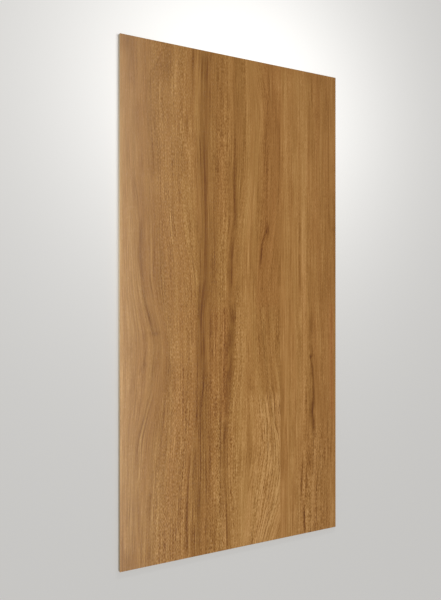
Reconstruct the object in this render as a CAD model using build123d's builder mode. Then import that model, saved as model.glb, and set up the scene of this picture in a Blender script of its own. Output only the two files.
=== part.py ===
from build123d import *
import os

# Decorative laminate sheet, full size, in the thick self-supporting grade.
#
# The real sheet is one hot-pressed slab: resin-soaked core papers with a printed wood-grain
# paper on each face, cured together and sawn to size. It has no frame, layer or fixing of its
# own, so it is one solid: a flat plate with square sawn edges, eased corners and a fine arris
# round both faces.
#
# Frame: the sheet lies flat. X runs across the grain, Y along it and Z up through the
# thickness. The origin is the middle of the lower face.

# Stock size, in millimetres
sheet_length = 2440.0  # along the grain
sheet_width = 1220.0  # across the grain
sheet_thickness = 18.0  # face to face, both printed faces included

# How the saw and the edge sander leave the rim
corner_radius = 1.5  # upright easing of the four corners, seen from above
arris = 0.5  # 45 degree easing where each edge meets a face

parts_folder = "parts"
os.makedirs(parts_folder, exist_ok=True)

# The slab, sawn to its outline
with BuildPart() as laminate_sheet:
    with BuildSketch(Plane.XY):
        RectangleRounded(sheet_width, sheet_length, corner_radius)
    extrude(amount=sheet_thickness)

    # The arris runs all the way round both faces, corners included
    printed_faces = laminate_sheet.faces().filter_by(Axis.Z)
    chamfer(printed_faces.edges(), length=arris)

laminate_sheet.part.label = "laminate_sheet"
export_step(laminate_sheet.part, f"{parts_folder}/laminate_sheet.step")
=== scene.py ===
from math import pi, radians

import bpy
import numpy as np
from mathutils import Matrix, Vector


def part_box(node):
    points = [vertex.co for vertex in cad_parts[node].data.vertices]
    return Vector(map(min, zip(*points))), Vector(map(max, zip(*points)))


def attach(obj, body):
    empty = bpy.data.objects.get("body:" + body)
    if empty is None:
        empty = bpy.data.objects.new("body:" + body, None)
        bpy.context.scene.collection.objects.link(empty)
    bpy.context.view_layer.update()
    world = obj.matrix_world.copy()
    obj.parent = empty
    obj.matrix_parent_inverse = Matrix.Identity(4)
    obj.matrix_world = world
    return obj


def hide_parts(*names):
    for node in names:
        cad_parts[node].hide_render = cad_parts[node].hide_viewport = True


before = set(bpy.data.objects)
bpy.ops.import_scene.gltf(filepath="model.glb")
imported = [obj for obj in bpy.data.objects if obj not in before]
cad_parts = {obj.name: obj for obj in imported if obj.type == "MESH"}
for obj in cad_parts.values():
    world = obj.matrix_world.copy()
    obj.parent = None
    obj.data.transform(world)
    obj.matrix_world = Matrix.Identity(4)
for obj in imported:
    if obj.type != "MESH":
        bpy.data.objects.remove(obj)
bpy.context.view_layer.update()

# The sheet: resin-soaked papers, hot-pressed between textured plates into one slab and sawn to
# size. Its top and bottom papers carry the same wood-grain print, which keeps the sheet flat, and
# the sawn edges show the grey core between them.

mm = 0.001
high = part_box("laminate_sheet")[1]
half_width, half_length, thickness = high
corner_radius = 1.5 * mm  # upright easing of the four corners
arris = 0.5 * mm  # 45 degree easing between each face and the edge

# The print is two leaves of veneer, butted along the sheet. In each, the grain follows flow lines.
# A flow line is named by how far from the sheet's middle it runs on the whole, and has points
# (along, across), all in millimetres.
leaf_joint = 255  # how far right of the middle the two leaves meet
left_flow = {
    -610: [(1220, -610), (-1220, -610)],
    -515: [(1220, -566), (900, -562), (700, -554), (600, -546), (500, -530), (350, -518), (200, -517),
           (100, -506), (0, -487), (-90, -463), (-145, -450), (-300, -452), (-430, -465), (-500, -480),
           (-640, -515), (-740, -522), (-900, -528), (-1220, -536)],
    -448: [(1220, -499), (900, -495), (600, -475), (300, -458), (100, -454), (0, -440), (-145, -412),
           (-300, -408), (-430, -418), (-600, -436), (-700, -446), (-800, -455), (-900, -461),
           (-1050, -467), (-1220, -472)],
    -368: [(1220, -392), (600, -388), (300, -379), (180, -368), (0, -358), (-300, -345), (-600, -352),
           (-900, -372), (-1220, -380)],
    -268: [(1220, -318), (700, -312), (400, -300), (300, -286), (200, -271), (100, -257), (0, -250),
           (-400, -244), (-600, -246), (-720, -259), (-850, -268), (-950, -274), (-1220, -279)],
    -232: [(1220, -244), (1000, -248), (600, -240), (300, -222), (100, -214), (0, -212), (-200, -222),
           (-400, -226), (-700, -234), (-1000, -234), (-1220, -239)],
    -200: [(1220, -192), (1000, -196), (870, -194), (700, -186), (600, -184), (500, -181), (400, -178),
           (200, -178), (100, -182), (50, -190), (0, -197), (-300, -199), (-600, -204), (-850, -204),
           (-1000, -208), (-1220, -214)],
    -108: [(1220, -110), (600, -118), (300, -112), (0, -108), (-300, -104), (-450, -98), (-800, -97),
           (-1000, -93), (-1220, -100)],
    -46: [(1220, -12), (720, -8), (600, -14), (430, -12), (300, -30), (200, -38), (100, -40), (0, -42),
          (-100, -36), (-200, -40), (-300, -43), (-400, -56), (-520, -60), (-620, -70), (-810, -78),
          (-1020, -63), (-1220, -57)],
    -10: [(1220, 54), (900, 51), (600, 42), (400, 10), (200, -6), (0, -6), (-200, -10), (-300, -14),
          (-400, -28), (-500, -42), (-600, -50), (-810, -50), (-1020, -40), (-1220, -28)],
    118: [(1220, 92), (1100, 112), (1000, 133), (900, 138), (800, 128), (600, 119), (400, 113), (100, 106),
          (-200, 108), (-400, 118), (-600, 140), (-750, 140), (-850, 122), (-950, 102), (-1100, 84),
          (-1220, 72)],
    158: [(1220, 172), (900, 188), (600, 182), (420, 175), (350, 166), (290, 143), (210, 133), (150, 125),
          (0, 128), (-150, 140), (-300, 150), (-520, 180), (-680, 200), (-780, 203), (-880, 190),
          (-980, 168), (-1100, 142), (-1220, 112)],
    208: [(1220, 212), (600, 214), (400, 205), (250, 184), (150, 168), (0, 168), (-150, 176), (-300, 190),
          (-400, 198), (-470, 212), (-560, 218), (-640, 229), (-680, 240), (-760, 250), (-850, 248),
          (-960, 232), (-1050, 208), (-1150, 172), (-1220, 150)],
    250: [(1220, 250), (600, 252), (300, 236), (0, 215), (-150, 218), (-310, 226), (-370, 234),
          (-430, 243), (-500, 249), (-600, 262), (-760, 285), (-900, 285), (-1050, 252), (-1150, 215),
          (-1220, 190)],
    320: [(1220, 330), (0, 322), (-600, 345), (-900, 350), (-1050, 320), (-1220, 262)],
}
right_flow = {
    250: [(1220, 250), (-1220, 250)],
    300: [(1220, 300), (-1220, 300)],
    372: [(1220, 372), (0, 374), (-1220, 366)],
    402: [(1220, 402), (300, 400), (-300, 403), (-720, 400), (-900, 393), (-1050, 397), (-1220, 410)],
    425: [(1220, 412), (1060, 424), (600, 425), (0, 432), (-130, 440), (-280, 443), (-400, 455),
          (-520, 463), (-620, 457), (-750, 450), (-1220, 446)],
    490: [(1220, 490), (0, 492), (-600, 500), (-850, 497), (-1000, 481), (-1220, 470)],
    580: [(1220, 580), (-1220, 580)],
    620: [(1220, 620), (-1220, 620)],
}

# Tone runs from 0, the darkest grain, to 1, the lightest. Its bands are (flow line, tone), and its
# streaks are (flow line, half width, change, top, foot), both across the leaf from left to right.
# On the left leaf, the rise in tone from about -480 out to the sheet's left edge is painted sheen, on top
# of the overhead softbox's own reflection there.
left_tone = [
    (-610, 0.74), (-556, 0.66), (-509, 0.58), (-478, 0.55), (-448, 0.54), (-415, 0.53), (-390, 0.55),
    (-361, 0.58), (-306, 0.62), (-259, 0.62), (-239, 0.58), (-232, 0.55), (-219, 0.52), (-210, 0.47),
    (-200, 0.44), (-170, 0.43), (-142, 0.45), (-108, 0.47), (-86, 0.53), (-67, 0.50), (-46, 0.46),
    (-34, 0.46), (-18, 0.48), (-10, 0.64), (61, 0.64), (118, 0.60), (128, 0.54), (142, 0.50), (158, 0.47),
    (250, 0.49), (320, 0.50),
]
left_streaks = [
    # The left side, with its long curves; along its edge, painted sheen and painted shade
    # Painted sheen: a lighter strip along the left edge, where the overhead softbox is mirrored
    (-612, 24, 0.12, 900, -850),
    (-570, 34, -0.20, 1330, 1120),
    # Painted shade: darker towards the foot of the left edge
    (-570, 34, -0.10, -1070, -1320),
    (-565, 40, -0.20, -1110, -1320),
    (-528, 26, -0.14, 20, -140),
    (-521, 6, 0.08, 920, 640),
    (-515, 24, -0.14, 1320, 960),
    (-515, 4, -0.12, 1140, 1000),
    (-515, 6, -0.10, 640, 380),
    (-515, 5, -0.30, 90, -130),
    (-515, 4, -0.12, -680, -760),
    (-510, 7, -0.28, 350, 70),
    (-503, 3, -0.12, 820, 590),
    (-501, 12, -0.14, 420, 0),
    (-496, 14, 0.14, -570, -750),
    (-495, 4, -0.14, 310, 240),
    (-490, 20, -0.08, 0, -400),
    (-482, 24, -0.10, 440, 0),
    (-480, 18, -0.15, 700, 370),
    (-460, 34, 0.12, 1120, 900),
    (-460, 3, -0.12, 300, 230),
    (-458, 10, -0.10, -880, -1060),
    (-448, 4, -0.26, 1100, 830),
    (-448, 3, 0.16, 420, 90),
    (-448, 4, -0.18, -760, -870),
    (-448, 5, -0.28, -850, -1070),
    (-448, 5, -0.14, -1050, -1200),
    (-448, 12, -0.20, -1120, -1300),
    (-441, 3, -0.12, 680, 600),
    (-440, 12, -0.12, -330, -540),
    (-437, 4, -0.10, 1010, 920),
    (-436, 6, 0.12, -840, -1120),
    (-434, 3, -0.14, 650, 550),
    # The flecked wood beside it
    (-420, 4, -0.22, 780, 560),
    (-415, 30, -0.05, 1120, 560),
    (-412, 32, -0.08, 560, -60),
    (-410, 30, 0.12, -760, -1230),
    (-408, 30, -0.07, -100, -460),
    (-390, 4, -0.16, 1100, 1010),
    (-372, 30, 0.10, -400, -860),
    (-368, 3, -0.20, 540, 20),
    (-346, 3, -0.14, -50, -150),
    (-340, 28, 0.05, 330, 60),
    (-330, 45, -0.16, 1330, 1030),
    (-316, 3, -0.16, -290, -400),
    (-310, 18, -0.20, -270, -490),
    (-300, 14, -0.10, -400, -820),
    (-290, 40, -0.08, -400, -1230),
    (-285, 22, 0.05, 1150, 300),
    (-285, 14, 0.14, -440, -650),
    (-275, 12, -0.10, 820, 420),
    (-268, 4, -0.20, 430, -10),
    (-268, 4, -0.42, -700, -1230),
    (-258, 5, 0.08, -740, -1000),
    (-258, 8, -0.16, -810, -1220),
    (-252, 3, -0.18, -240, -400),
    (-251, 9, -0.15, 320, 130),
    (-250, 11, -0.08, 730, 450),
    (-250, 34, -0.12, 100, -220),
    (-248, 14, 0.12, 860, 700),
    # The first dark streak, split along its length
    (-244, 4, -0.16, 360, 120),
    (-242, 4, 0.12, -240, -400),
    (-236, 20, 0.14, 890, 570),
    (-232, 4, -0.34, 1240, 1090),
    (-232, 4, -0.12, 1110, 900),
    (-232, 12, -0.10, 420, 0),
    (-232, 14, -0.12, 20, -1040),
    (-232, 3, -0.36, -680, -850),
    (-232, 3, -0.24, -890, -1020),
    (-232, 4, -0.26, -1040, -1220),
    (-230, 14, -0.26, -1030, -1300),
    (-226, 12, -0.15, 1320, 960),
    (-222, 10, 0.06, 1160, 700),
    (-222, 13, -0.14, 450, 160),
    (-218, 16, -0.16, 240, -120),
    (-216, 12, -0.16, 350, 230),
    (-216, 14, -0.15, -640, -1060),
    (-216, 3, -0.20, -990, -1160),
    (-211, 11, 0.16, 1150, 780),
    (-207, 20, -0.22, -160, -660),
    (-206, 5, -0.05, 1060, 850),
    (-206, 14, 0.14, -160, -400),
    (-204, 3, -0.22, -870, -1010),
    (-202, 4, -0.20, 1230, 1000),
    (-200, 5, -0.20, -150, -300),
    (-200, 4, -0.34, -560, -860),
    (-199, 5, -0.30, 560, -170),
    (-199, 13, -0.16, 540, 30),
    (-196, 12, -0.14, 640, 480),
    # The brown wood between the two dark streaks
    (-186, 20, -0.26, 1240, 1040),
    (-184, 12, -0.08, 1240, 880),
    (-183, 24, -0.05, 1060, 540),
    (-182, 8, -0.12, 240, -280),
    (-182, 14, 0.16, 190, 10),
    (-181, 3, -0.18, 1130, 1040),
    (-167, 10, -0.15, -470, -700),
    (-164, 4, -0.16, 530, 350),
    (-160, 22, -0.08, 220, -200),
    (-158, 4, -0.30, -640, -980),
    (-153, 4, -0.14, -270, -340),
    (-150, 12, -0.08, 0, -420),
    (-150, 20, 0.15, -770, -990),
    (-147, 12, 0.14, 1190, 1000),
    (-147, 4, -0.30, -40, -190),
    (-143, 3, -0.16, 210, 90),
    (-142, 4, -0.18, -220, -270),
    (-134, 4, -0.34, -1050, -1230),
    (-128, 14, 0.17, -690, -1010),
    (-125, 12, -0.12, 10, -400),
    (-125, 10, 0.15, -450, -720),
    (-120, 14, 0.15, -1040, -1200),
    (-117, 7, 0.14, -240, -660),
    (-113, 4, -0.20, 960, 760),
    (-108, 4, -0.16, 720, 600),
    (-108, 9, 0.16, -100, -330),
    (-106, 8, 0.12, 60, -80),
    (-104, 20, -0.08, 1240, 800),
    (-98, 12, 0.08, 420, 20),
    (-90, 3, -0.20, -40, -190),
    (-87, 10, -0.15, -130, -570),
    (-87, 4, 0.18, -540, -720),
    (-81, 4, 0.22, -40, -210),
    (-76, 20, 0.07, 1200, 560),
    (-76, 6, 0.14, 420, 270),
    (-76, 24, -0.08, -20, -800),
    (-69, 3, -0.18, -130, -270),
    (-68, 3, 0.18, 340, 150),
    (-62, 18, 0.16, -620, -880),
    # The second dark streak
    (-60, 3, -0.22, 210, 90),
    (-57, 3, -0.20, -120, -260),
    (-55, 14, -0.12, 880, 680),
    (-54, 14, -0.14, 700, 380),
    (-50, 14, -0.14, 290, 60),
    (-50, 4, -0.24, 30, -110),
    (-50, 16, -0.20, -600, -850),
    (-48, 7, -0.16, 840, 660),
    (-48, 14, -0.26, -390, -480),
    (-46, 11, -0.32, 720, 420),
    (-46, 8, -0.30, 480, 330),
    (-46, 10, -0.22, 350, 190),
    (-46, 7, -0.12, 220, 10),
    (-46, 14, -0.30, -110, -270),
    (-46, 14, -0.32, -310, -420),
    (-46, 9, -0.24, -460, -570),
    (-46, 8, -0.26, -570, -720),
    (-44, 12, -0.12, 480, -20),
    (-42, 16, -0.16, 1320, 1070),
    (-40, 8, -0.34, -240, -340),
    (-38, 4, -0.24, 210, 40),
    (-36, 12, -0.16, 0, -130),
    (-30, 8, -0.18, -110, -260),
    (-26, 5, -0.28, -50, -120),
    (-24, 3, -0.24, 680, 470),
    (-22, 14, -0.12, -10, -400),
    (-20, 5, -0.24, 40, -110),
    (-14, 4, -0.24, 1040, 740),
    (-14, 10, -0.10, -430, -800),
    (-12, 12, -0.18, -300, -520),
    # The light wedge to its right
    (-8, 14, -0.12, 130, -60),
    (-4, 5, 0.12, 1200, 740),
    (-2, 12, -0.15, 610, 410),
    (30, 4, -0.16, -310, -420),
    (40, 80, 0.14, -780, -1400),
    (44, 9, 0.08, 660, 380),
    (44, 10, 0.08, 0, -400),
    (45, 70, -0.08, 430, 30),
    (50, 26, -0.08, -720, -890),
    (62, 12, 0.12, 420, -420),
    (72, 12, -0.12, -630, -780),
    (76, 20, -0.12, -620, -1160),
    (82, 14, -0.10, 400, 0),
    (95, 30, 0.20, -430, -1230),
    (100, 4, 0.12, -520, -640),
    (108, 10, -0.12, -420, -800),
    # The streak with the spindle, and the waves below it
    (118, 4, -0.18, 780, 480),
    (118, 22, -0.26, -1040, -1300),
    (130, 45, 0.28, -430, -1400),
    (130, 4, 0.14, -480, -620),
    (133, 22, 0.16, -750, -980),
    (135, 12, -0.16, 460, 290),
    (140, 3, 0.14, 200, 90),
    (142, 18, -0.12, 980, 540),
    (150, 12, -0.10, -130, -260),
    (150, 50, 0.08, -270, -470),
    (150, 9, -0.18, -580, -770),
    (152, 3, -0.10, 710, 490),
    (153, 3, -0.20, -220, -440),
    (157, 3, 0.12, 670, 550),
    (169, 10, 0.15, -650, -800),
    (175, 22, 0.18, -880, -1060),
    # The wood that darkens towards the joint, and the wavy heart at the foot
    (180, 11, 0.17, -390, -570),
    (186, 11, 0.22, -690, -900),
    (190, 40, -0.04, 290, 130),
    (190, 50, 0.34, -450, -1400),
    (200, 40, 0.10, -820, -1400),
    (203, 16, -0.08, 1120, 980),
    (208, 16, 0.10, -440, -1230),
    (208, 9, -0.18, -600, -770),
    (208, 40, -0.18, -1110, -1310),
    (218, 10, -0.22, -480, -680),
    (224, 20, -0.20, -850, -1110),
    (230, 34, 0.10, 1180, 890),
    (232, 10, -0.10, 1000, 860),
    (236, 22, 0.14, 1300, 1050),
    (238, 3, -0.20, 630, 530),
    (241, 3, -0.28, 950, 620),
    (245, 40, 0.34, -560, -1400),
    (250, 4, 0.24, -310, -520),
    (258, 14, 0.18, -270, -540),
    (262, 16, -0.12, -130, -250),
    (264, 10, -0.10, 400, 0),
    (298, 14, 0.15, -1140, -1320),
]
right_tone = [
    (250, 0.58), (262, 0.64), (285, 0.70), (310, 0.68), (350, 0.68), (375, 0.66), (400, 0.72),
    (417, 0.69), (424, 0.60), (445, 0.58), (490, 0.60), (540, 0.58), (580, 0.55), (620, 0.60),
]
right_streaks = [
    # The light wood beside the joint
    (260, 13, -0.18, 560, 190),
    (266, 4, -0.14, 820, 640),
    (266, 10, -0.16, -380, -960),
    (275, 3, -0.14, -400, -620),
    (284, 12, 0.06, 1180, 460),
    (312, 46, -0.12, 1330, 1140),
    (313, 12, -0.16, -1100, -1310),
    (320, 10, -0.06, 1100, 500),
    (325, 26, 0.10, -760, -1400),
    (335, 3, -0.12, -110, -300),
    (350, 14, 0.12, 820, 400),
    (360, 3, 0.12, 430, 40),
    # The fine dark line
    (368, 4, -0.16, -140, -230),
    (370, 20, 0.14, -380, -740),
    (372, 6, -0.14, 430, 270),
    (372, 7, -0.36, 290, 40),
    (372, 4, -0.16, 60, -60),
    # The streak with the knots
    (396, 12, -0.08, -820, -1220),
    (402, 12, 0.10, 520, -700),
    (402, 8, -0.22, -1060, -1260),
    (404, 16, 0.10, 1000, -60),
    (406, 3, -0.20, -430, -540),
    (408, 14, -0.14, -420, -820),
    (408, 5, 0.20, -700, -870),
    (413, 16, -0.17, -340, -640),
    (413, 14, -0.18, -750, -1080),
    (414, 8, 0.10, 900, 560),
    (414, 4, -0.20, -640, -790),
    (417, 9, 0.15, -850, -1060),
    (418, 12, -0.16, -420, -660),
    (422, 14, -0.16, -200, -450),
    (424, 9, -0.20, -420, -620),
    (425, 12, -0.18, -570, -690),
    (427, 5, -0.20, -690, -880),
    (428, 3, -0.18, 540, 130),
    (428, 4, -0.24, 150, -60),
    (428, 14, -0.30, -40, -300),
    (430, 3, -0.20, 1060, 560),
    (430, 8, 0.14, -1000, -1240),
    (436, 11, -0.26, -590, -710),
    (437, 5, -0.10, 1110, 880),
    (438, 36, -0.14, 1320, 1130),
    (440, 28, 0.12, 790, 160),
    (440, 22, 0.06, -900, -1220),
    (452, 4, -0.20, 1220, 1030),
    (457, 10, 0.20, -710, -1230),
    # The even wood out to the right edge
    (466, 5, 0.12, 1110, 1020),
    (466, 20, 0.15, -520, -790),
    (487, 8, 0.12, -600, -800),
    (497, 4, -0.14, 1160, 1050),
    (504, 11, -0.15, -550, -780),
    (514, 16, -0.17, 1320, 1120),
    (520, 4, -0.18, 110, -60),
    (524, 4, -0.14, -70, -310),
    (530, 26, -0.05, 200, -60),
    (533, 17, 0.15, 950, 650),
    (536, 3, -0.14, 770, 680),
    (550, 14, -0.10, -400, -820),
    (555, 12, -0.10, 1160, 990),
    (555, 3, -0.14, -140, -310),
    (563, 3, -0.24, 970, 590),
    (568, 8, -0.16, 500, 390),
    (576, 14, 0.10, -800, -1230),
    (580, 14, 0.10, 40, -660),
    (583, 15, 0.16, 950, 580),
    (591, 14, 0.20, -1030, -1300),
    (592, 8, 0.12, -700, -1220),
    (600, 14, -0.16, 480, 310),
]

# Strokes that leave the flow are (half width, change of tone, points), and marks are
# (across, along, half width, half length, change), such as a pin knot or a ruffled spot.
strokes = [
    # Fine lines that lean to the left at the top
    (5, -0.18, [(1190, -396), (1120, -428), (1050, -470)]),
    (4, -0.14, [(1130, -402), (1080, -430), (1010, -468)]),
    (4, 0.12, [(1190, -410), (1120, -442), (1060, -478)]),
    # Short strokes in the curves of the left side
    (4, -0.14, [(-250, -430), (-290, -438), (-330, -452)]),
    (4, -0.16, [(-190, -478), (-240, -486), (-300, -496)]),
    (5, -0.22, [(-290, -500), (-315, -514), (-340, -526)]),
    # The long curves below them, light ones between dark ones
    (4, 0.32, [(-400, -448), (-450, -461), (-500, -477), (-560, -494), (-620, -509), (-700, -518)]),
    (4, -0.36, [(-400, -440), (-450, -453), (-500, -469), (-560, -485), (-620, -500), (-690, -509)]),
    (4, -0.32, [(-510, -488), (-550, -500), (-600, -514), (-650, -523), (-700, -528)]),
    (4, 0.18, [(-720, -498), (-780, -515), (-830, -529), (-1000, -533), (-1120, -530)]),
    (4, -0.20, [(-740, -494), (-800, -510), (-850, -520), (-1000, -520), (-1150, -516)]),
    # Dark lines in and beside the first dark streak
    (4, -0.26, [(900, -184), (780, -183), (700, -183), (600, -180), (490, -178)]),
    (4, -0.12, [(880, -206), (780, -206), (620, -202)]),
    (3, -0.22, [(800, -171), (660, -169), (500, -168)]),
    (3, -0.26, [(270, -207), (200, -205), (110, -202)]),
    (3, -0.24, [(100, -207), (30, -214), (-30, -213), (-90, -210)]),
    (4, -0.30, [(-270, -179), (-330, -181), (-380, -184), (-430, -193), (-480, -200), (-580, -205)]),
    # Lines along the second dark streak, down to the foot
    (3, -0.24, [(140, 8), (110, 3), (60, -8), (40, -10)]),
    (4, -0.40, [(-420, -98), (-700, -97), (-900, -95), (-1040, -92)]),
    (4, -0.36, [(-980, -64), (-1080, -61), (-1290, -56)]),
    # The top of the light wedge
    (4, -0.14, [(1210, 108), (1140, 118), (1060, 128)]),
    (4, 0.14, [(1040, 136), (940, 142), (830, 148)]),
    # The spindle
    (6, -0.46, [(440, 175), (390, 176), (360, 169), (330, 156), (300, 145), (250, 138), (210, 134),
                (160, 128)]),
    # The dark line that enters the wavy heart, and its two companions
    (4, -0.44, [(-370, 196), (-420, 199), (-460, 208), (-500, 215), (-560, 218), (-620, 222),
                (-650, 233), (-720, 250)]),
    (4, -0.22, [(-620, 200), (-700, 200), (-850, 198)]),
    (4, -0.20, [(-620, 214), (-700, 214), (-820, 210)]),
    # Lines along the joint
    (3, -0.20, [(250, 254), (150, 254), (50, 253)]),
    (3, -0.14, [(230, 241), (150, 242), (60, 240)]),
    (4, 0.20, [(-225, 253), (-270, 253), (-315, 254)]),
    # Slanting dashes of the wavy heart, dark ones and then light ones
    (4, -0.20, [(-720, 108), (-760, 107), (-800, 100)]),
    (4, -0.20, [(-770, 120), (-820, 121), (-860, 117)]),
    (4, -0.36, [(-850, 92), (-905, 71), (-965, 57)]),
    (3, -0.28, [(-840, 103), (-900, 89), (-960, 76)]),
    (4, -0.18, [(-860, 196), (-910, 180), (-980, 166)]),
    (4, -0.20, [(-990, 228), (-1030, 217), (-1090, 195)]),
    (4, -0.20, [(-1110, 236), (-1135, 218), (-1165, 196)]),
    (4, -0.20, [(-1090, 203), (-1130, 182), (-1180, 155)]),
    (5, 0.18, [(-730, 232), (-800, 235), (-880, 228)]),
    (6, 0.16, [(-860, 150), (-930, 144), (-1000, 136)]),
    (5, 0.14, [(-980, 136), (-1040, 132), (-1100, 128)]),
    # The dark line between the knots, and below them
    (6, -0.20, [(-225, 449), (-265, 452), (-300, 448)]),
    (7, -0.50, [(-270, 441), (-310, 448), (-350, 455), (-400, 458), (-450, 461), (-500, 464), (-530, 464)]),
    (9, -0.22, [(-580, 459), (-650, 465), (-780, 463)]),
    # Lines of the right leaf that run out at the foot
    (5, -0.42, [(-780, 397), (-850, 393), (-900, 389), (-990, 385), (-1060, 388)]),
    (5, -0.44, [(-850, 417), (-930, 414), (-1010, 411), (-1070, 405), (-1150, 404), (-1290, 403)]),
    (5, 0.18, [(-860, 402), (-930, 401), (-1020, 396)]),
    (4, -0.32, [(-830, 498), (-920, 490), (-1000, 481), (-1080, 475), (-1280, 468)]),
]
marks = [
    # On the left leaf, from left to right
    (-497, -155, 10, 24, -0.14),
    (-490, -292, 12, 14, -0.32),
    (-461, -898, 8, 14, -0.20),
    (-443, -143, 30, 6, -0.22),
    (-112, 1098, 8, 16, -0.14),
    (95, 140, 12, 50, -0.12),
    (172, 365, 11, 26, -0.28),
    # The knots of the right leaf, from the top down
    (441, -140, 6, 14, -0.16),
    (446, -287, 15, 15, -0.40),
    (466, -500, 7, 26, -0.22),
    (463, -540, 10, 24, -0.42),
    (454, -580, 9, 26, -0.42),
    (445, -840, 14, 40, -0.14),
    # Small marks to their right
    (487, 990, 7, 24, -0.14),
    (596, 390, 24, 7, -0.18),
    (552, -1028, 18, 9, -0.18),
]

# How strong the flecks and the growth rings are, and where the print blushes red, told in the same
# way as the tone.
left_flecks = [
    (-610, 0.10), (-440, 0.15), (-424, 0.30), (-396, 0.65), (-350, 0.95), (-259, 0.9), (-233, 0.4),
    (-213, 0.1), (-172, 0.1), (-160, 0.45), (-108, 0.8), (-86, 1.0), (-60, 0.4), (-34, 0.3), (-14, 0.7),
    (10, 0.6), (55, 0.2), (105, 0.3), (124, 0.5), (190, 0.5), (215, 0.4), (320, 0.6),
]
left_fleck_spots = [
    (-412, 50, 0.3, -620, -1240), (-320, 70, -0.15, 330, -330), (-262, 24, -0.5, -640, -1300),
    (-120, 130, 0.5, -330, -1400), (8, 30, 0.6, 80, -580), (70, 45, 0.3, -20, -560),
    (155, 38, 0.2, 880, 470), (170, 90, 0.55, -450, -1400), (190, 45, 0.4, 160, -440),
]
right_flecks = [
    (250, 0.15), (340, 0.20), (362, 0.4), (400, 0.5), (425, 0.35), (470, 0.45), (550, 0.4), (620, 0.3),
]
right_fleck_spots = [(300, 50, 0.3, 1240, 380), (470, 90, 0.75, -640, -1400)]
left_rings = [(-610, 0.3), (-375, 0.5), (-259, 0.4), (-205, 0.8), (-76, 0.6), (10, 0.4), (320, 0.5)]
left_ring_spots = [(170, 90, 0.8, -420, -1400)]
right_rings = [(250, 0.4), (350, 0.5), (430, 0.6), (620, 0.5)]
left_blush = [(-610, 0.0), (-430, 0.0), (-360, 0.05), (-220, 0.02), (-170, 0.06), (100, 0.06), (320, 0.10)]
left_blush_spots = [
    (205, 70, 0.24, 1300, -60), (-300, 60, 0.10, 0, -1300), (-130, 30, 0.16, 0, -600),
    (-76, 22, 0.20, 0, -600), (-86, 30, 0.1, 820, 300),
]
right_blush = [(250, 0.20), (330, 0.15), (420, 0.16), (450, 0.22), (620, 0.22)]
right_blush_spots = [(583, 15, 0.5, 20, -640)]

# Each quality of a leaf is told by its bands, and then by the streaks or spots that change them
leaves = [
    {"flow": left_flow, "tone": (left_tone, left_streaks), "flecks": (left_flecks, left_fleck_spots),
     "rings": (left_rings, left_ring_spots), "blush": (left_blush, left_blush_spots)},
    {"flow": right_flow, "tone": (right_tone, right_streaks), "flecks": (right_flecks, right_fleck_spots),
     "rings": (right_rings, []), "blush": (right_blush, right_blush_spots)},
]
qualities = ("tone", "flecks", "rings", "blush")
end_fade = 60  # how far a long streak takes to fade in and out at its ends


def smooth_path(points, along):
    """How far across a smooth line through points (along, across) lies at one place along it."""
    places, across = np.array(sorted(points), float).T
    slope = np.gradient(across, places)
    i = int(np.clip(np.searchsorted(places, along) - 1, 0, len(places) - 2))
    span = places[i + 1] - places[i]
    t = float(np.clip((along - places[i]) / span, 0, 1))
    level = across[i] * (1 + 2 * t) * (1 - t) ** 2 + across[i + 1] * t**2 * (3 - 2 * t)
    return level + span * (slope[i] * t * (1 - t) ** 2 - slope[i + 1] * t**2 * (1 - t))


def bump_shape(off):
    """A soft-topped bump: 1 in the middle, near 0 from 1.4 half widths out."""
    return np.exp(-np.abs(off) ** 2.5)


def leaf_row(leaf, across, along):
    """The print of one leaf on points in a row across it: the grain line, then each quality."""
    names = sorted(leaf["flow"])
    paths = [smooth_path(leaf["flow"][name], along) for name in names]
    line = np.interp(across, paths, names)
    row = {"grain": line * mm}
    for quality in qualities:
        bands, streaks = leaf[quality]
        row[quality] = np.interp(line, *zip(*bands))
        for centre, reach, change, top, foot in streaks:
            fade = min(end_fade, (top - foot) / 3)
            ends = np.clip((top - along) / fade, 0, 1) * np.clip((along - foot) / fade, 0, 1)
            off = (across - np.interp(centre, names, paths)) / reach
            row[quality] += change * ends * bump_shape(off)
    return row


def figure(x, y):
    """The whole print at points of the sheet: the grain line and the four qualities."""
    across, along = x / mm, y / mm
    print_at = {name: np.zeros_like(x) for name in ("grain", *qualities)}
    for place in np.unique(along):
        for leaf, on_leaf in zip(leaves, (across < leaf_joint, across >= leaf_joint)):
            here = on_leaf & (along == place)
            for name, values in leaf_row(leaf, across[here], place).items():
                print_at[name][here] = values
        here = along == place
        for reach, change, stroke in strokes:
            top, foot = stroke[0][0], stroke[-1][0]
            if foot < place < top:
                ends = min(1, 4 * (top - place) / (top - foot), 4 * (place - foot) / (top - foot))
                off = (across[here] - smooth_path(stroke, place)) / reach
                print_at["tone"][here] += change * ends * bump_shape(off)
    for middle, place, reach_across, reach_along, change in marks:
        off = np.hypot((across - middle) / reach_across, (along - place) / reach_along)
        print_at["tone"] += change * bump_shape(off)
    return print_at


# The slab's mesh: a grid of cells on each face, fine across the grain and coarse along it, and
# runs of points round the rim that join the two
face_columns, face_rows = 520, 136
back_columns, back_rows = 260, 68
corner_steps = 4  # flats round each upright corner
emboss = 0.1 * mm  # how deep the plate presses the very darkest grain
pressed_tone = 0.75  # grain lighter than this isn't pressed in


def grid(columns, rows):
    """The points of one face, row by row from the foot, and the cells between them."""
    x = np.linspace(corner_radius - half_width, half_width - corner_radius, columns + 1)
    y = np.linspace(corner_radius - half_length, half_length - corner_radius, rows + 1)
    xx, yy = np.meshgrid(x, y)
    first = np.add.outer(np.arange(rows) * (columns + 1), np.arange(columns)).ravel()
    cells = np.column_stack([first, first + 1, first + columns + 2, first + columns + 1])
    return np.column_stack([xx.ravel(), yy.ravel()]), cells


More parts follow.
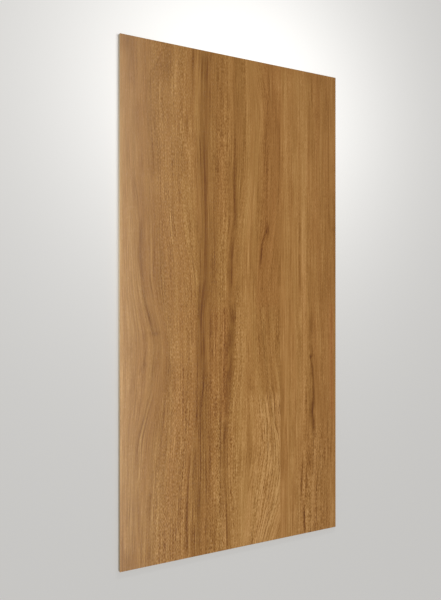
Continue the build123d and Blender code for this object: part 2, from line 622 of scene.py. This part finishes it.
def outline(columns, rows):
    """The outer points of a grid, counter-clockwise, each with the way that it faces outward."""
    foot = list(range(columns))
    right = [row * (columns + 1) + columns for row in range(rows)]
    top = [rows * (columns + 1) + column for column in range(columns, 0, -1)]
    left = [row * (columns + 1) for row in range(rows, 0, -1)]
    run, facing = [], []
    for side, side_points in enumerate((foot, right, top, left)):
        straight_out = (side - 1) * pi / 2
        for step in range(corner_steps):
            run.append(side_points[0])
            facing.append(straight_out - pi / 2 + step * pi / 2 / corner_steps)
        run.extend(side_points)
        facing.extend([straight_out] * len(side_points))
    return np.array(run), np.array(facing)


def at_height(flat_points, height):
    """Points (x, y), all raised to one height."""
    return np.column_stack([flat_points, np.full(len(flat_points), height)])


def pushed_out(flat_points, run, facing, outward):
    """The outer points of a face, each moved outward by the same amount."""
    return flat_points[run] + np.column_stack([np.cos(facing), np.sin(facing)]) * outward


def join(first, second):
    """The cells between two runs of points round the rim, in which a point may come up twice."""
    cells = zip(first, second, np.roll(second, -1), np.roll(first, -1))
    return [tuple(dict.fromkeys(map(int, cell))) for cell in cells]


face_points, face_cells = grid(face_columns, face_rows)
back_points, back_cells = grid(back_columns, back_rows)
face_run, face_facing = outline(face_columns, face_rows)
back_run, back_facing = outline(back_columns, back_rows)
rim_top = thickness - arris
inside_arris = corner_radius - arris

groups = {
    "face": at_height(face_points, thickness),
    "back": at_height(back_points, 0.0),
    "face_edge": at_height(pushed_out(face_points, face_run, face_facing, inside_arris), thickness),
    "upper_rim": at_height(pushed_out(face_points, face_run, face_facing, corner_radius), rim_top),
    "lower_rim": at_height(pushed_out(back_points, back_run, back_facing, corner_radius), arris),
    "back_edge": at_height(pushed_out(back_points, back_run, back_facing, inside_arris), 0.0),
}
points = np.vstack(list(groups.values()))
numbers = {}  # of each group's points, as the mesh counts them
count = 0
for name, group in groups.items():
    numbers[name] = np.arange(count, count + len(group))
    count += len(group)

# Below each point of the upper rim comes the nearest one of the lower rim, which has fewer
upper_rim, lower_rim = numbers["upper_rim"], numbers["lower_rim"]
apart = points[upper_rim, None, :2] - points[None, lower_rim, :2]
nearest_below = lower_rim[np.argmin(np.hypot(apart[..., 0], apart[..., 1]), axis=1)]

cells, kinds = [], []
for kind, new_cells in (
    ("face", face_cells.tolist()),
    ("face", join(face_run, numbers["face_edge"])),
    ("core", join(numbers["face_edge"], upper_rim)),
    ("core", join(upper_rim, nearest_below)),
    ("core", join(lower_rim, numbers["back_edge"])),
    ("back", join(numbers["back_edge"], numbers["back"][back_run])),
    ("back", numbers["back"][back_cells[:, ::-1]].tolist()),
):
    cells += new_cells
    kinds += [kind] * len(new_cells)

# The back's print is mirrored in x, so that it reads as the face does once the sheet is turned over
mirrored = np.zeros(len(points), bool)
for name in ("back", "lower_rim", "back_edge"):
    mirrored[numbers[name]] = True
printed = figure(np.where(mirrored, -points[:, 0], points[:, 0]), points[:, 1])

pressed = np.zeros(len(points), bool)
pressed[numbers["face"]] = True
pressed[face_run] = False
points[pressed, 2] -= emboss * np.clip(pressed_tone - printed["tone"][pressed], 0, 1)

mesh = bpy.data.meshes.new("laminate_slab")
mesh.from_pydata(points.tolist(), [], cells)
for name, values in printed.items():
    mesh.attributes.new(name, "FLOAT", "POINT").data.foreach_set("value", values.astype(np.float32))
mesh.polygons.foreach_set("use_smooth", [kind != "core" for kind in kinds])
mesh.set_sharp_from_angle(angle=radians(30))  # keeps the arris crisp

# How the slab is laid out flat for its maps: the face, the back below it, and the four edges as
# strips along the foot. Each is (start, length), in shares of the map's height.
face_strip, back_strip, edge_strip = (0.30, 0.69), (0.035, 0.245), (0.001, 0.0055)
edge_pitch = 0.0075  # from the start of one edge's strip to the next
side_margin = 0.01  # left bare at both ends of a strip, as a share of the map's width

# One entry for each corner of each cell, in the mesh's own order
corner_cell = np.repeat(np.arange(len(cells)), [len(cell) for cell in cells])
corner_place = points[np.concatenate(cells)]
corner_kind = np.array(kinds)[corner_cell]
cell_middle = np.array([points[list(cell)].mean(axis=0) for cell in cells])[corner_cell]
share = (corner_place[:, :2] / (half_width, half_length) + 1) / 2
long_side = half_width - np.abs(cell_middle[:, 0]) < half_length - np.abs(cell_middle[:, 1])
far_side = np.where(long_side, cell_middle[:, 0], cell_middle[:, 1]) > 0
edge_start = edge_strip[0] + (np.where(long_side, 0, 2) + far_side) * edge_pitch
flat_u = np.where((corner_kind == "core") & long_side, share[:, 1], share[:, 0])
flat_v = np.select(
    [corner_kind == "face", corner_kind == "back"],
    [face_strip[0] + face_strip[1] * share[:, 1], back_strip[0] + back_strip[1] * share[:, 1]],
    edge_start + edge_strip[1] * corner_place[:, 2] / thickness,
)
flat = np.column_stack([side_margin + (1 - 2 * side_margin) * flat_u, flat_v])
mesh.uv_layers.new(name="OFBake").data.foreach_set("uv", flat.ravel().astype(np.float32))

slab = bpy.data.objects.new("laminate_slab", mesh)
bpy.context.collection.objects.link(slab)


class Field:
    """A number that changes over a surface. Sums on it add the Math nodes that work them out."""

    def __init__(self, socket):
        self.socket = socket

    def worked(self, operation, first, second=0.0):
        """The result of one Math node that takes these two numbers, or the first alone."""
        node = self.socket.id_data.nodes.new("ShaderNodeMath")
        node.operation = operation
        for slot, value in zip(node.inputs, (first, second)):
            plug(slot, value)
        return Field(node.outputs[0])

    def __add__(self, other):
        return self.worked("ADD", self, other)

    def __sub__(self, other):
        return self.worked("SUBTRACT", self, other)

    def __rsub__(self, other):
        return self.worked("SUBTRACT", other, self)

    def __mul__(self, other):
        return self.worked("MULTIPLY", self, other)

    def __pow__(self, other):
        return self.worked("POWER", self, other)

    def __mod__(self, other):
        return self.worked("FLOORED_MODULO", self, other)

    def __abs__(self):
        return self.worked("ABSOLUTE", self)

    __radd__, __rmul__ = __add__, __mul__


def plug(slot, value):
    """Gives a socket its link, where the value is a field or another socket, or its set value."""
    if isinstance(value, Field):
        value = value.socket
    if isinstance(value, bpy.types.NodeSocket):
        slot.id_data.links.new(slot, value)
    else:
        slot.default_value = value


def slot_named(slots, name):
    """The socket of that name that the node's settings leave in use."""
    return next(slot for slot in slots if slot.name == name and slot.enabled)


class Finish:
    """A material, with its nodes added one by one."""

    def __init__(self, name, **constant):
        self.material = bpy.data.materials.new(name)
        self.material.use_nodes = True
        self.tree = self.material.node_tree
        self.shader = self.tree.nodes["Principled BSDF"]
        self.set(**constant)

    def set(self, **sockets):
        """Fills sockets of the material's shader, named with _ for each space."""
        for name, value in sockets.items():
            plug(self.shader.inputs[name.replace("_", " ")], value)

    def add(self, kind, settings, output, **sockets):
        """Adds a node with its settings, fills its sockets and gives back the output of that name."""
        node = self.tree.nodes.new(kind)
        for setting, value in settings.items():
            if setting == "stops":
                ramp = node.color_ramp
                while len(ramp.elements) < len(value):
                    ramp.elements.new(0.5)
                for element, (position, colour) in zip(ramp.elements, value):
                    element.position, element.color = position, (*colour, 1.0)
            else:
                setattr(node, setting, value)
        for name, value in sockets.items():
            plug(slot_named(node.inputs, name.replace("_", " ")), value)
        return slot_named(node.outputs, output)

    def number(self, *arguments, **sockets):
        """The same as add, for an output that is a number and goes on into sums."""
        return Field(self.add(*arguments, **sockets))

    def coordinate(self, axis):
        """Where a point of the surface lies along one of the sheet's own axes, in metres."""
        return self.number(
            "ShaderNodeSeparateXYZ", {}, axis, Vector=self.add("ShaderNodeTexCoord", {}, "Object")
        )

    def strands(self, across, along, per_metre, length, detail=2.0, seed=0.0):
        """Noise around 0, drawn out along the grain: so many strands to the metre, each so long."""
        vector = self.add(
            "ShaderNodeCombineXYZ", {}, "Vector", X=across * per_metre, Y=along * (1 / length), Z=seed
        )
        return self.number("ShaderNodeTexNoise", {}, "Fac", Vector=vector, Scale=1.0, Detail=detail) - 0.5

    def eased(self, value, start, end):
        """0 up to start, 1 from end on, and a smooth step between them."""
        return self.number(
            "ShaderNodeMapRange", {"interpolation_type": "SMOOTHSTEP"}, "Result",
            Value=value, From_Min=start, From_Max=end,
        )


# The printed faces: brown inks on paper under clear resin, with a satin shine. The mesh holds the
# large figure, and everything finer is noise that follows its grain lines.
decor = Finish("printed_laminate", IOR=1.62)
grain, tone, flecks, rings, blush = (
    decor.number("ShaderNodeAttribute", {"attribute_name": name}, "Fac") for name in ("grain", *qualities)
)
along = decor.coordinate("Y")
waver = 10 * mm  # how widely the grain wanders about its flow line
grain = grain + decor.strands(grain, along, per_metre=9, length=0.6, detail=1.0, seed=3.0) * waver


def grain_noise(per_metre, length, detail, seed):
    """Noise around 0 that follows the print's grain lines."""
    return decor.strands(grain, along, per_metre, length, detail, seed)


# Wide and soft: bands, clouds and thin layers, and where the grain is strong or the wood is warm
soft_bands = grain_noise(per_metre=34, length=1.1, detail=2.0, seed=11.0)
clouds = grain_noise(per_metre=11, length=0.16, detail=2.0, seed=31.0)
layers = decor.eased(grain_noise(per_metre=60, length=0.8, detail=0.0, seed=71.0), -0.06, 0.06)
strong = decor.eased(grain_noise(per_metre=22, length=0.30, detail=1.0, seed=61.0), -0.14, 0.14)
warmth = decor.eased(grain_noise(per_metre=24, length=0.6, detail=1.0, seed=83.0), -0.12, 0.12)

# Long and thin: lines, fibres and threads, with single dark and light hairs
lines = grain_noise(per_metre=150, length=0.7, detail=1.0, seed=17.0)
fibres = grain_noise(per_metre=260, length=0.15, detail=1.0, seed=19.0)
threads = grain_noise(per_metre=900, length=0.09, detail=2.0, seed=23.0)
dark_hairs = decor.eased(grain_noise(per_metre=170, length=0.45, detail=0.0, seed=43.0), 0.14, 0.26)
light_hairs = decor.eased(grain_noise(per_metre=170, length=0.45, detail=0.0, seed=47.0), 0.14, 0.26)

# Short: dashes, specks and open pores
dashes = grain_noise(per_metre=330, length=0.028, detail=0.0, seed=53.0)
specks = grain_noise(per_metre=400, length=0.012, detail=0.0, seed=29.0)
pores = decor.eased(grain_noise(per_metre=950, length=0.022, detail=1.0, seed=37.0), 0.11, 0.20)

# Growth rings: each darkens slowly and stops at a sharp edge. Wide ones and fine ones lie over
# each other, and fade in and out along the sheet. In the wavy heart, even ripples join them.
wide_rings_per_metre, fine_rings_per_metre, ripples_per_metre = 52, 150, 74
wide_rings = (1 - (grain * wide_rings_per_metre + soft_bands * 2.4) % 1.0) ** 3
fine_rings = (1 - (grain * fine_rings_per_metre + lines * 2.0) % 1.0) ** 2
ring_fade = decor.eased(grain_noise(per_metre=14, length=0.45, detail=2.0, seed=41.0), -0.12, 0.16)
ring_lines = (wide_rings * 0.30 + fine_rings * 0.20) * rings * (ring_fade + 0.2)
ripples = abs((grain * ripples_per_metre + lines * 1.4 + fibres * 1.8) % 1.0 - 0.5) - 0.25
waves = ripples * decor.eased(rings, 0.8, 1.2) * (strong * 0.9 + 1.4)

# All of it is weighed in steps of tone, and the fine part grows stronger towards the foot
lift = 0.055  # lightens the whole print a little
hairs = (light_hairs - dark_hairs) * 0.14
long_grain = (lines * 0.65 + fibres * 0.95 + hairs) * (strong * 0.5 + 0.66) * (flecks * 0.35 + 0.75)
short_grain = (dashes * 0.85 + specks * 1.05) * (flecks * 0.8 + 0.12) * (strong * 0.5 + 0.71)
fine = (long_grain + short_grain + waves - ring_lines) * (1 - along * 0.18)
soft = soft_bands * 0.20 + clouds * 0.16 + layers * 0.07 + threads * 0.30
shade = tone + lift + soft - pores * (flecks + 0.3) * 0.18 + fine

# The inks, from the darkest to the lightest: (tone, colour)
inks = [
    (-0.15, (0.155, 0.048, 0.003)),
    (0.00, (0.205, 0.068, 0.003)),
    (0.30, (0.300, 0.129, 0.018)),
    (0.55, (0.388, 0.179, 0.037)),
    (0.76, (0.460, 0.230, 0.056)),
    (1.00, (0.560, 0.300, 0.091)),
    (1.25, (0.660, 0.372, 0.130)),
]
red_ink = (1.0, 0.78, 0.76, 1.0)  # multiplied into the wood where it blushes
darkest = inks[0][0]
ink_range = inks[-1][0] - darkest
wood = decor.add(
    "ShaderNodeValToRGB",
    {"stops": [((ink_tone - darkest) / ink_range, colour) for ink_tone, colour in inks]},
    "Color",
    Fac=(shade - darkest) * (1 / ink_range),
)
red_wood = decor.add(
    "ShaderNodeMix", {"data_type": "RGBA", "blend_type": "MULTIPLY"}, "Result",
    Factor=blush + warmth * 0.12, A=wood, B=red_ink,
)
pore_depth = 0.04 * mm
satin = 0.26  # the roughness of the clear resin
relief = decor.add(
    "ShaderNodeBump", {}, "Normal", Strength=1.0, Distance=pore_depth, Height=threads * 0.6 - pores
)
decor.set(Base_Color=red_wood, Roughness=specks * flecks * 0.25 + threads * 0.15 + satin, Normal=relief)

# The sawn edges: grey-brown core papers, with the saw's fine marks across them and the print's brown
# line where the arris cuts through the outer paper
core = Finish("sawn_core")
core_greys = [(0.0, (0.25, 0.19, 0.11)), (0.5, (0.36, 0.28, 0.17)), (1.0, (0.48, 0.38, 0.25))]
cut_paper = (0.24, 0.12, 0.04, 1.0)
paper_start, paper_full = 0.30 * mm, 0.18 * mm  # how far in from each face the brown line shows
saw_depth = 0.05 * mm
sawn_roughness = 0.68
x, y, z = (core.coordinate(axis) for axis in "XYZ")
core_papers = core.strands(z, x + y, per_metre=2600, length=0.35, seed=5.0)
saw_marks = core.strands(x + y + z * 0.25, z, per_metre=420, length=0.06, seed=7.0)
outer_paper = core.eased(abs(z - thickness / 2), thickness / 2 - paper_start, thickness / 2 - paper_full)
grey = core.add(
    "ShaderNodeValToRGB", {"stops": core_greys}, "Color", Fac=core_papers * 0.9 + saw_marks * 0.7 + 0.5
)
edge_colour = core.add(
    "ShaderNodeMix", {"data_type": "RGBA"}, "Result", Factor=outer_paper, A=grey, B=cut_paper
)
sawn = core.add(
    "ShaderNodeBump", {}, "Normal", Strength=1.0, Distance=saw_depth, Height=saw_marks + core_papers * 0.5
)
core.set(Base_Color=edge_colour, Roughness=saw_marks * 0.2 + sawn_roughness, Normal=sawn)

for finish in (decor, core):
    mesh.materials.append(finish.material)
mesh.polygons.foreach_set("material_index", [int(kind == "core") for kind in kinds])

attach(slab, "root")
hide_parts("laminate_sheet")

# The studio floor: plain, pale and matt, and far larger than the sheet, which lies flat and unfixed
# on it. It is no part of the sheet.
floor_reach = 9.0  # from the middle to each side
corner_ways = [(-1, -1), (1, -1), (1, 1), (-1, 1)]
floor_points = [(floor_reach * way_x, floor_reach * way_y, 0.0) for way_x, way_y in corner_ways]
floor_mesh = bpy.data.meshes.new("floor")
floor_mesh.from_pydata(floor_points, [], [(0, 1, 2, 3)])
floor = bpy.data.objects.new("floor", floor_mesh)
bpy.context.collection.objects.link(floor)
pale = Finish("pale_floor", Roughness=0.9, Specular_IOR_Level=0.1, Base_Color=(0.76, 0.75, 0.73, 1.0))
floor_mesh.materials.append(pale.material)


# The lights: a long softbox over the sheet, which its left side mirrors, and a low lamp level with
# its left edge. The floor has an even light of its own, with a glow at the top end, and a plain
# white room fills in the shadows.
def lamp(name, kind, place, power, only_on, **settings):
    """One lamp that lights one thing only and isn't seen itself."""
    light = bpy.data.lights.new(name, kind)
    light.energy = power
    for setting, value in settings.items():
        setattr(light, setting, value)
    holder = bpy.data.objects.new(name, light)
    holder.location = place
    holder.visible_camera = False
    bpy.context.collection.objects.link(holder)
    lit = bpy.data.collections.new(name + "_lights")
    lit.objects.link(only_on)
    holder.light_linking.receiver_collection = lit


lamp("overhead", "AREA", place=(-0.55, 0.0, 3.0), power=84, only_on=slab,
     shape="RECTANGLE", size=1.9, size_y=5.4)
lamp("edge_light", "POINT", place=(-1.56, 0.25, thickness / 2), power=36, only_on=slab,
     shadow_soft_size=0.008)
lamp("floor_light", "SUN", place=(0.0, 0.0, 3.0), power=1.50, only_on=floor, angle=radians(30))
lamp("floor_glow", "AREA", place=(0.02, 1.04, 1.1), power=10.8, only_on=floor,
     shape="RECTANGLE", size=0.8, size_y=0.4)

room = bpy.data.worlds.new("room")
bpy.context.scene.world = room
room.use_nodes = True
room_light = room.node_tree.nodes["Background"]
plug(room_light.inputs["Color"], (1.0, 1.0, 1.0, 1.0))
plug(room_light.inputs["Strength"], 0.25)

# The viewpoint: high up beyond the sheet's left edge, looking down and to the right across it
view_place = (-1.50828, 0.01242, 2.71778)
view_tilt = radians(27.616)  # away from straight down
focal_length = 37.253  # of the lens, in millimetres

view = bpy.data.cameras.new("camera")
view.lens = focal_length
camera = bpy.data.objects.new("camera", view)
camera.location = view_place
camera.rotation_euler = (0.0, -view_tilt, 0.0)
bpy.context.collection.objects.link(camera)
bpy.context.scene.camera = camera
bpy.context.scene.view_settings.view_transform = "Standard"
